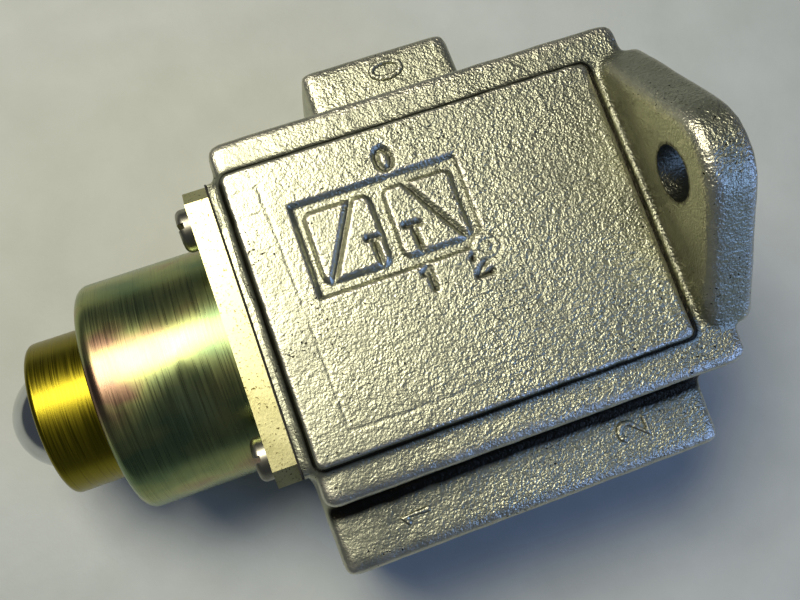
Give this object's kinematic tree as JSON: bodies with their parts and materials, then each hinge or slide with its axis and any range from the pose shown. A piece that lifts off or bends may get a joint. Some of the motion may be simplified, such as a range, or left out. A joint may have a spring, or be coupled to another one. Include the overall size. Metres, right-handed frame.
{
  "type": "pneumatic valve",
  "caption": "Three-way two-position pneumatic valve: die-cast body with port bosses and a mounting ear, and a spring-returned plunger with a cam ball",
  "frame": {"origin": "the point where the plunger's axis meets the rear mounting face", "axes": "+X leaves the rear mounting face, so the plunger points along -X; +Y is the side of port 0; +Z leaves the face with the flow symbol, and the valve lies on its back"},
  "size_m": [0.0938, 0.0648, 0.0559],
  "materials": {
    "cast_body": "as die cast, satin",
    "gasket": "fibre sheet",
    "yellow_zinc_plate": "yellow zinc plated",
    "green_zinc_housing": "turned and zinc plated",
    "screw_steel": "zinc plated",
    "gold_plunger": "turned, yellow passivated",
    "ball_steel": "polished",
    "rubber": "matt",
    "cage_metal": "machined",
    "spool_steel": "ground",
    "spring_steel": "drawn wire"
  },
  "bodies": {
    "body": {"valve_body": "cast_body", "flange_gasket": "gasket", "flange_plate": "yellow_zinc_plate", "flange_screws": "screw_steel", "guide_housing": "green_zinc_housing", "plunger_wiper": "rubber", "stack_retainer": "cage_metal", "retainer_seal": "rubber", "front_seal": "rubber", "port_1_cage": "cage_metal", "port_1_seal": "rubber", "port_0_cage": "cage_metal", "port_2_seal": "rubber", "port_2_cage": "cage_metal", "rear_seal": "rubber", "plunger_spring": "spring_steel", "spool_spring": "spring_steel"},
    "plunger": {"plunger": "gold_plunger"},
    "ball": {"ball": "ball_steel"},
    "spool": {"spool": "spool_steel"}
  },
  "joints": [
    {"name": "plunger_slide", "type": "slide", "parent": "body", "child": "plunger", "axis": [1, 0, 0], "range_m": [0, 0.0045], "stiffness_N_per_m": 1500, "springref_m": -0.008, "deforming": ["plunger_spring"]},
    {"name": "spool_slide", "type": "slide", "parent": "body", "child": "spool", "axis": [1, 0, 0], "range_m": [0, 0.0045], "deforming": ["spool_spring"]},
    {"name": "ball_roll", "type": "hinge", "parent": "plunger", "child": "ball", "pos_m": [-0.08666, 0, 0], "axis": [0, 1, 0], "continuous": true}
  ],
  "couplings": [
    {"joint": "spool_slide", "follows": "plunger_slide", "ratio": 1}
  ]
}
